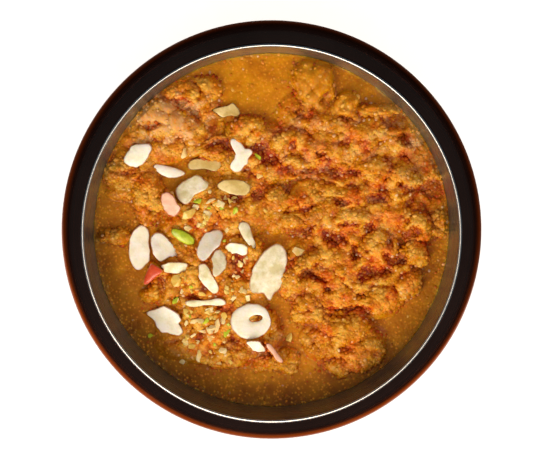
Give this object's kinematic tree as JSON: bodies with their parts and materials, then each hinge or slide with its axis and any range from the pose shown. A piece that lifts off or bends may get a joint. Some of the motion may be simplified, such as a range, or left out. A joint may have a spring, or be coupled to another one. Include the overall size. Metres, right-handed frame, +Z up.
{
  "type": "bowl of sooji halwa",
  "caption": "Round double-walled metal serving bowl filled with crumbly golden semolina halwa, topped with sliced almonds and chopped nuts.",
  "frame": {"origin": "middle of the bowl's base, on the surface that it stands on", "axes": "+Z up, +X to the right in the picture, +Y to its far side"},
  "size_m": [0.1416, 0.1416, 0.06],
  "materials": {
    "polished_steel": "polished",
    "polished_copper": "polished",
    "halwa": "moist and granular, glossy with ghee",
    "almond": "satin",
    "tan_nut": "satin",
    "pistachio": "satin",
    "pink_nut": "satin",
    "red_nut": "satin"
  },
  "bodies": {
    "root": {"steel_liner": "polished_steel", "copper_shell": "polished_copper", "halwa": "halwa", "almond_big": "almond", "almond_tall_left": "almond", "almond_pointed": "almond", "almond_middle_lower": "almond", "almond_ring": "almond", "almond_ring_tail": "almond", "cashew_curve": "almond", "pink_flake": "pink_nut", "almond_chunk_left": "almond", "almond_boat": "almond", "tan_slice_left": "tan_nut", "curl_top": "almond", "tan_slice_right": "tan_nut", "yellow_chip_top": "tan_nut", "pistachio_wedge": "pistachio", "almond_second_left": "almond", "almond_flat_left": "almond", "almond_middle_side": "almond", "almond_middle_upper": "almond", "cream_sliver": "almond", "pale_chip": "almond", "red_sliver": "red_nut", "long_sliver": "almond", "pink_sliver": "pink_nut"}
  },
  "joints": []
}
